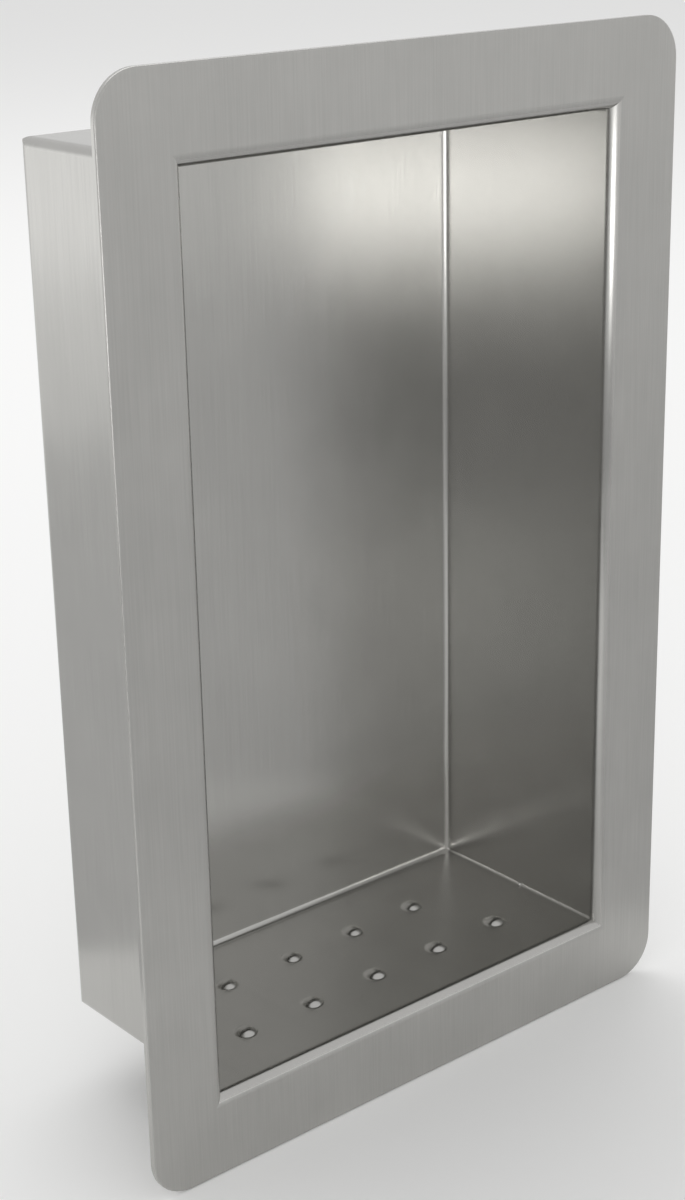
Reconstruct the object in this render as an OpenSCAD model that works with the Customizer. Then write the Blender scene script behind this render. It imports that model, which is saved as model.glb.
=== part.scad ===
// Recessed soap holder in stainless sheet. A deep pan sits in a cut-out in the wall, and its
// four walls turn out at the front into a flat flange that covers the edge of the cut-out.
// The blank is folded once at each edge of the pan's back and once at each side of the mouth.
// The four corners are then welded and ground, and the flange's mitres are ground flush.
// Two staggered rows of dimples are pressed up in the floor, so that soap sits clear of it.
//
// Millimetres. X runs across the mouth, Z is up and +Y goes into the wall. The origin is the
// middle of the mouth, in the plane of the wall that the flange's back face lies on.

/* [Flange] */
// Width of the flange
flange_w = 152; // [126:1:200]
// Height of the flange
flange_h = 233; // [120:1:300]
// Width of the border between the flange's edge and the inside of the pan
border = 19; // [14:0.5:28]
// Radius of the flange's own corners
flange_corner_r = 9.5; // [3:0.5:14]
// Radius ground on the front edge of the flange
edge_r = 0.4; // [0.2:0.1:0.6]

/* [Pan] */
// Depth from the front of the flange to the back of the pan
depth = 55; // [45:1:90]
// Thickness of the sheet
sheet_t = 1.2; // [0.9:0.1:1.6]
// Inside radius of the folds
fold_r = 1.5; // [1.2:0.1:2.4]
// Radius ground on the outside of the four welded corners
seam_r = 2; // [1.7:0.1:2.4]
// Radius of the weld left inside those corners
weld_r = 0.7; // [0.4:0.1:1]

/* [Dimples] */
// Number of dimples in the front row, with one fewer in the back row
dimple_count = 5; // [2:1:6]
// Spacing of the dimples along a row
dimple_pitch = 19.2; // [10:0.1:20]
// Distance between the two rows
row_gap = 19.5; // [10:0.5:24]
// Height of a dimple above the floor
dimple_h = 1.4; // [1:0.1:1.8]
// Radius of the dimple's crown
crown_r = 3; // [2.8:0.1:4]
// Radius of the blend between the crown and the floor
blend_r = 0.8; // [0.5:0.1:1.2]

/* [Hidden] */
$fn = 64;

// inside and outside sizes of the pan
inside_w = flange_w - 2 * border;
inside_h = flange_h - 2 * border;
pan_w = inside_w + 2 * sheet_t;
pan_h = inside_h + 2 * sheet_t;
// places along Y, measured from the plane of the wall
front_y = -sheet_t;
back_y = depth - sheet_t;
inside_back_y = back_y - sheet_t;
// radius on the outside of a fold
outer_fold_r = fold_r + sheet_t;
floor_z = -inside_h / 2;
row_mid_y = (front_y + inside_back_y) / 2;
// how far a cutting shape runs past the face that it cuts
past = 2;
// how far two shapes that are joined overlap
lap = 0.4;
// the crown's centre is below the floor, and the blend's is beside the crown
crown_z = dimple_h - crown_r;
blend_x = sqrt(pow(crown_r + blend_r, 2) - pow(blend_r - crown_z, 2));
// one spatter of weld beside the right-hand floor corner
spatter_r = 0.6;
spatter_y = 25.5;

// A flat shape drawn in X and Z, given a length along Y.
module along_y(from_y, to_y) {
    translate([0, to_y, 0])
        rotate([90, 0, 0])
            linear_extrude(height = to_y - from_y)
                children();
}

// A section drawn across one pair of walls, run past the other pair. The second axis of the
// section is Y in both cases.
module between_sides(length) {
    linear_extrude(height = length, center = true)
        children();
}

module between_floor_and_top(length) {
    rotate([0, 90, 0])
        linear_extrude(height = length, center = true)
            children();
}

module rounded_rectangle(w, h, r) {
    square([w - 2 * r, h], center = true);
    square([w, h - 2 * r], center = true);
    for (x = [-1, 1], y = [-1, 1])
        translate([x * (w / 2 - r), y * (h / 2 - r)])
            circle(r);
}

// A strip from one side to the other, ending in two rounded corners at the back of the pan.
module folded_section(span, start_y, end_y, r) {
    translate([-span / 2, start_y])
        square([span, end_y - r - start_y]);
    translate([r - span / 2, start_y])
        square([span - 2 * r, end_y - start_y]);
    for (side = [-1, 1])
        translate([side * (span / 2 - r), end_y - r])
            circle(r);
}

// The space inside the pan between two walls, opening out over the front folds.
module mouth_section(span) {
    folded_section(span, front_y - past, inside_back_y, fold_r);
    difference() {
        translate([-span / 2 - outer_fold_r, front_y - past])
            square([span + 2 * outer_fold_r, outer_fold_r + past]);
        for (side = [-1, 1])
            translate([side * (span / 2 + outer_fold_r), fold_r])
                circle(outer_fold_r);
    }
}

// Both pairs of walls cut this space, so the folds meet in mitres at the corners.
module pan_space() {
    intersection() {
        between_sides(flange_h)
            mouth_section(inside_w);
        between_floor_and_top(flange_w)
            mouth_section(inside_h);
    }
}

module pan_outside() {
    intersection() {
        between_sides(flange_h)
            folded_section(pan_w, -lap, back_y, outer_fold_r);
        between_floor_and_top(flange_w)
            folded_section(pan_h, -lap, back_y, outer_fold_r);
        along_y(-lap, back_y + past)
            rounded_rectangle(pan_w, pan_h, seam_r);
    }
}

// Sweeps a section round a rounded rectangle in the plane of the wall. The section's first axis
// points out from the rectangle, starting at its edge, and its second axis is Y.
module round_the_edge(w, h, r) {
    for (turn = [0, 180])
        rotate([0, turn, 0]) {
            translate([w / 2, 0, 0])
                between_sides(h - 2 * r)
                    children();
            translate([0, 0, h / 2])
                rotate([0, -90, 0])
                    between_sides(w - 2 * r)
                        children();
        }
    for (x = [0, 1], z = [0, 1])
        mirror([x, 0, 0])
            mirror([0, 0, z])
                translate([w / 2 - r, 0, r - h / 2])
                    rotate([-90, 0, 0])
                        rotate_extrude(angle = 90)
                            translate([r, 0])
                                children();
}

// What the grinding takes off the front edge of the flange.
module edge_section() {
    difference() {
        translate([-edge_r, front_y - past])
            square([edge_r + past, edge_r + past]);
        translate([-edge_r, front_y + edge_r])
            circle(edge_r);
    }
}

module flange() {
    difference() {
        along_y(front_y, 0)
            rounded_rectangle(flange_w, flange_h, flange_corner_r);
        round_the_edge(flange_w, flange_h, flange_corner_r)
            edge_section();
    }
}

// Hollow side of a front fold: the corner between a wall and the flange's back face.
module fold_section() {
    difference() {
        translate([-lap, -lap])
            square([fold_r + lap, fold_r + lap]);
        translate([fold_r, fold_r])
            circle(fold_r);
    }
}

// Weld in an inside corner, from the front fold to the back one.
module corner_weld() {
    along_y(fold_r, inside_back_y)
        difference() {
            translate([-weld_r, -weld_r])
                square(weld_r + lap);
            translate([-weld_r, -weld_r])
                circle(weld_r);
        }
}

module corner_welds() {
    for (x = [0, 1], z = [0, 1])
        mirror([x, 0, 0])
            mirror([0, 0, z])
                translate([inside_w / 2, 0, inside_h / 2])
                    corner_weld();
    translate([inside_w / 2 - weld_r / 2, spatter_y, floor_z + weld_r / 2])
        sphere(spatter_r);
}

// Half of a dimple's section, from its axis out to the end of the blend and down to a base
// level. It follows the top of the sheet, or the surface that lies the given distance below.
module dimple_section(below, base_z) {
    crown = crown_r - below;
    blend = blend_r + below;
    // where the crown's arc meets the blend's
    meet = crown / (crown_r + blend_r);
    difference() {
        union() {
            intersection() {
                translate([0, crown_z])
                    circle(crown);
                translate([0, base_z])
                    square([crown, crown]);
            }
            polygon([
                [0, base_z],
                [0, crown_z + crown],
                [blend_x * meet, crown_z + (blend_r - crown_z) * meet],
                [blend_x, blend_r],
                [blend_x, base_z]
            ]);
        }
        translate([blend_x, blend_r])
            circle(blend);
    }
}

module dimple_places() {
    for (row = [0, 1])
        let (count = dimple_count - row)
            for (i = [0 : count - 1])
                translate([(i - (count - 1) / 2) * dimple_pitch, row_mid_y + (row - 0.5) * row_gap, floor_z])
                    children();
}

module flanged_pan() {
    color([0.64, 0.64, 0.62])
        difference() {
            union() {
                difference() {
                    union() {
                        flange();
                        pan_outside();
                        round_the_edge(pan_w, pan_h, seam_r)
                            fold_section();
                    }
                    pan_space();
                }
                corner_welds();
                dimple_places()
                    rotate_extrude()
                        dimple_section(0, -sheet_t / 2);
            }
            dimple_places()
                rotate_extrude()
                    dimple_section(sheet_t, -sheet_t - past);
        }
}

flanged_pan();
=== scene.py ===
from math import pi, radians
import bpy
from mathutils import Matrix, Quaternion, Vector


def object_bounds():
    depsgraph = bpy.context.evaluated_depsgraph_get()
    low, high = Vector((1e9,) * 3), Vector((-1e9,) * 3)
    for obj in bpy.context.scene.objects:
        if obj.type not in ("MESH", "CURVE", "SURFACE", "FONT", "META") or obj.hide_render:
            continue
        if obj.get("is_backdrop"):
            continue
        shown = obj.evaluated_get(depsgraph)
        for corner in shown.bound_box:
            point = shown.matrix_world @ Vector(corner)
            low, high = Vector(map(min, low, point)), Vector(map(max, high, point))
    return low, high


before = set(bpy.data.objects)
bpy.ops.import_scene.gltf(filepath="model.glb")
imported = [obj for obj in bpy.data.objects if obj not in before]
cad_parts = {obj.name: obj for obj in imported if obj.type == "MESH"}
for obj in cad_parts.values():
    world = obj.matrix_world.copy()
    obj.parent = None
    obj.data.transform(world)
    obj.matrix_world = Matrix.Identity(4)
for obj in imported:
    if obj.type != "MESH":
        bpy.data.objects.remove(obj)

low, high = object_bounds()
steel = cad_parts["flanged_pan"]
print("frame loaded:", len(steel.data.polygons), "faces in the folded pan")


# The camera stands to the left of the mouth and a little above it.
cameraView = {
    "place": (-0.2883, -0.3225, 0.15485),
    "aim": (-0.02077, 0.0, 0.00493),
    "lens": 64.506,
    "roll": -1.197,  # degrees about the line of sight
}


def addCamera(view):
    bpy.ops.object.camera_add(location=view["place"])
    camera = bpy.context.object
    sight = Vector(view["aim"]) - Vector(view["place"])
    turn = sight.to_track_quat("-Z", "Y") @ Quaternion((0, 0, 1), radians(view["roll"]))
    camera.rotation_mode = "QUATERNION"
    camera.rotation_quaternion = turn
    camera.data.lens = view["lens"]
    camera.data.sensor_fit = "AUTO"
    camera.data.sensor_width = 36
    camera.data.clip_start = 0.01
    bpy.context.scene.camera = camera
    return camera


addCamera(cameraView)


# Short ways to add nodes to a material's or the world's tree.
def doMath(tree, operation, a, b=0.0):
    made = tree.nodes.new("ShaderNodeMath")
    made.operation = operation
    for place, value in enumerate((a, b)):
        if isinstance(value, (int, float)):
            made.inputs[place].default_value = value
        else:
            tree.links.new(value, made.inputs[place])
    return made.outputs[0]


def rampOf(tree, value, fromLow, fromHigh, toLow=0.0, toHigh=1.0):
    made = tree.nodes.new("ShaderNodeMapRange")
    made.interpolation_type = "SMOOTHSTEP"
    made.inputs["From Min"].default_value = fromLow
    made.inputs["From Max"].default_value = fromHigh
    made.inputs["To Min"].default_value = toLow
    made.inputs["To Max"].default_value = toHigh
    tree.links.new(value, made.inputs["Value"])
    return made.outputs["Result"]


def blendColours(tree, share, first, second):
    made = tree.nodes.new("ShaderNodeMix")
    made.data_type = "RGBA"
    sockets = [x for x in made.inputs if x.enabled]
    tree.links.new(share, sockets[0])
    sockets[1].default_value = (*first, 1)
    sockets[2].default_value = (*second, 1)
    return [x for x in made.outputs if x.enabled][0]


# A pale floor and plain studio light, in metres.
studio = {
    "floor": (0.93, 0.93, 0.925),
    "horizon": (1.0, 1.0, 1.0),
    "sky": (0.78, 0.78, 0.78),
    "skyStarts": (0.04, 0.24),  # sine of the height over the horizon
    "floorSize": 8.0,
    "floorGap": 0.0002,
}
lamps = [
    # name, place, aim, width, height, brightness of its face
    ("overhead", (0.3, 0.75, 1.3), (0.2, 0.6, 0), 1.4, 1.0, 1.3),
    ("lowStrip", (-0.285, -0.335, -0.005), (0.057, 0.0526, 0.06), 0.24, 0.046, 8.0),
    ("sidePanel", (-0.64, 0.78, 0.0), (-0.06, 0.03, 0.05), 0.6, 0.22, 0.55),
]
reflectedShadeCards = [
    # grey cards flat on the floor, which only the metal reflects, as painted shade in its reflections:
    # name, middle, width and length, turn in degrees, tone
    ("frontLeft", (-0.33, -0.38), (0.75, 0.5), -39, 0.37),
    ("frontRight", (0.30, -0.37), (0.7, 0.8), 39, 0.66),
    ("backLeft", (-0.26, 0.28), (0.36, 0.5), 39, 0.66),
]


def paperMaterial(name, colour):
    paper = bpy.data.materials.new(name)
    paper.use_nodes = True
    shader = paper.node_tree.nodes["Principled BSDF"]
    shader.inputs["Base Color"].default_value = (*colour, 1)
    shader.inputs["Roughness"].default_value = 0.9
    shader.inputs["Specular IOR Level"].default_value = 0.0
    return paper


def addFloor(setting):
    height = low.z - setting["floorGap"]
    bpy.ops.mesh.primitive_plane_add(size=setting["floorSize"], location=(0, 0, height))
    floor = bpy.context.object
    floor.name = "floor"
    bpy.ops.object.transform_apply(location=True)
    floor.data.materials.append(paperMaterial("floorPaper", setting["floor"]))
    floor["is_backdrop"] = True


# a card that only the metal reflects: a patch of painted shade in its reflections
def addCard(name, middle, size, turn, paintedShadeTone):
    bpy.ops.mesh.primitive_plane_add(size=1, location=(*middle, low.z + 0.002))
    card = bpy.context.object
    card.name = name
    card.scale = (*size, 1)
    card.rotation_euler.z = radians(turn)
    bpy.ops.object.transform_apply(location=True, rotation=True, scale=True)
    card.data.materials.append(paperMaterial(name + "Paper", (paintedShadeTone, paintedShadeTone, paintedShadeTone)))
    card.visible_camera = False
    card.visible_diffuse = False
    card.visible_shadow = False
    card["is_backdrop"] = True


def addWorld(setting):
    world = bpy.data.worlds.new("studio")
    bpy.context.scene.world = world
    world.use_nodes = True
    tree = world.node_tree
    place = tree.nodes.new("ShaderNodeSeparateXYZ")
    tree.links.new(tree.nodes.new("ShaderNodeTexCoord").outputs["Generated"], place.inputs[0])
    share = rampOf(tree, place.outputs["Z"], *setting["skyStarts"])
    colour = blendColours(tree, share, setting["horizon"], setting["sky"])
    tree.links.new(colour, tree.nodes["Background"].inputs["Color"])


def addLamp(name, place, aim, width, height, brightness):
    bpy.ops.object.light_add(type="AREA", location=place)
    lamp = bpy.context.object
    lamp.name = name
    lamp.data.shape = "RECTANGLE"
    lamp.data.size = width
    lamp.data.size_y = height
    lamp.data.energy = pi * width * height * brightness
    lamp.rotation_euler = (Vector(aim) - Vector(place)).to_track_quat("-Z", "Y").to_euler()
    lamp.visible_camera = False


bpy.context.scene.view_settings.view_transform = "Standard"
addFloor(studio)
addWorld(studio)
for lamp in lamps:
    addLamp(*lamp)
for card in reflectedShadeCards:
    addCard(*card)
print("studio set")


# The sheet keeps its rolled grain: upright on the back and the sides, front to back on the
# floor and the top. The front of the flange is sanded all over, so it has no grain.
sheetFinish = {
    "colour": (0.505, 0.5, 0.482),
    "roughness": 0.25,
    "grainSpread": 0.8,  # how far a reflection spreads across the grain
    "grainFine": 2600,  # streaks per metre, across the grain
    "grainLong": 45,  # and along it
    "grainShade": 0.09,  # how much lighter or darker a streak is
    "cloudSize": 55,  # soft patches per metre
    "cloudShade": 0.07,
    "cloudRoughness": 0.025,
    "swirlFine": 3000,  # sanding swirls per metre
    "frontRoughness": 0.36,
    # the front of the flange is made a little darker: partly its duller sanded finish, partly painted shade
    "frontDullAndPaintedShade": 0.94,
    "wave": 0.00003,  # height of the sheet's slow waves, in metres
    "waveSize": 28,
}


def noise(tree, vector, scale, detail=2.0, roughness=0.5):
    made = tree.nodes.new("ShaderNodeTexNoise")
    made.inputs["Scale"].default_value = scale
    made.inputs["Detail"].default_value = detail
    made.inputs["Roughness"].default_value = roughness
    tree.links.new(vector, made.inputs["Vector"])
    return made


def aroundZero(tree, value, reach):
    # a noise of 0 to 1 becomes one of about -reach to +reach
    return doMath(tree, "MULTIPLY", doMath(tree, "SUBTRACT", value, 0.5), 2 * reach)


def stretched(tree, vector, scale):
    made = tree.nodes.new("ShaderNodeMapping")
    made.inputs["Scale"].default_value = scale
    tree.links.new(vector, made.inputs["Vector"])
    return made.outputs["Vector"]


def blendVectors(tree, share, first, second):
    made = tree.nodes.new("ShaderNodeMix")
    made.data_type = "VECTOR"
    sockets = [x for x in made.inputs if x.enabled]
    tree.links.new(share, sockets[0])
    tree.links.new(first, sockets[1])
    tree.links.new(second, sockets[2])
    return [x for x in made.outputs if x.enabled][0]


def steelMaterial(finish):
    made = bpy.data.materials.new("stainlessSheet")
    made.use_nodes = True
    tree = made.node_tree
    shader = tree.nodes["Principled BSDF"]
    shader.inputs["Metallic"].default_value = 1.0
    shader.inputs["Anisotropic"].default_value = finish["grainSpread"]
    coords = tree.nodes.new("ShaderNodeTexCoord").outputs["Object"]
    place = tree.nodes.new("ShaderNodeSeparateXYZ")
    tree.links.new(coords, place.inputs[0])
    facing = tree.nodes.new("ShaderNodeSeparateXYZ")
    tree.links.new(tree.nodes.new("ShaderNodeNewGeometry").outputs["Normal"], facing.inputs[0])
    # 1 on the front of the flange, 0 on the folds and the pan
    front = rampOf(tree, place.outputs["Y"], -0.00115, -0.0008, 1.0, 0.0)
    # 1 on the floor and the top
    level = rampOf(tree, doMath(tree, "ABSOLUTE", facing.outputs["Z"]), 0.55, 0.85)

    # streaks of the grain
    fine, long = finish["grainFine"], finish["grainLong"]
    upright = stretched(tree, coords, (fine, fine, long))
    lying = stretched(tree, coords, (fine, long, fine))
    streaks = noise(tree, blendVectors(tree, level, upright, lying), 1.0, 3.0).outputs["Fac"]
    clouds = noise(tree, coords, finish["cloudSize"], 3.0, 0.55).outputs["Fac"]
    shade = doMath(tree, "ADD", aroundZero(tree, streaks, finish["grainShade"]),
                   aroundZero(tree, clouds, finish["cloudShade"]))
    # the front of the flange is made a little darker: partly its duller sanded finish, partly painted shade
    bright = doMath(tree, "ADD", shade, rampOf(tree, front, 0.0, 1.0, 1.0, finish["frontDullAndPaintedShade"]))
    tint = tree.nodes.new("ShaderNodeVectorMath")
    tint.operation = "SCALE"
    tint.inputs[0].default_value = finish["colour"]
    tree.links.new(bright, tint.inputs["Scale"])
    tree.links.new(tint.outputs[0], shader.inputs["Base Color"])

    # roughness: a little more where the flange was sanded
    rough = rampOf(tree, front, 0.0, 1.0, finish["roughness"], finish["frontRoughness"])
    rough = doMath(tree, "ADD", rough, aroundZero(tree, clouds, finish["cloudRoughness"]))
    tree.links.new(rough, shader.inputs["Roughness"])

    # the direction across the grain, and every direction where the sander went
    across = tree.nodes.new("ShaderNodeCombineXYZ")
    across.inputs["X"].default_value = 1.0
    across.inputs["Y"].default_value = 0.01
    swirl = noise(tree, coords, finish["swirlFine"]).outputs["Color"]
    centred = tree.nodes.new("ShaderNodeVectorMath")
    centred.operation = "SUBTRACT"
    centred.inputs[1].default_value = (0.5, 0.5, 0.5)
    tree.links.new(swirl, centred.inputs[0])
    tree.links.new(blendVectors(tree, front, across.outputs[0], centred.outputs[0]), shader.inputs["Tangent"])

    # slow waves of the sheet
    waves = tree.nodes.new("ShaderNodeBump")
    waves.inputs["Distance"].default_value = finish["wave"]
    tree.links.new(noise(tree, coords, finish["waveSize"], 1.0).outputs["Fac"], waves.inputs["Height"])
    tree.links.new(waves.outputs[0], shader.inputs["Normal"])
    return made


steel.data.materials[0] = steelMaterial(sheetFinish)
print("steel finished")

low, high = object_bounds()
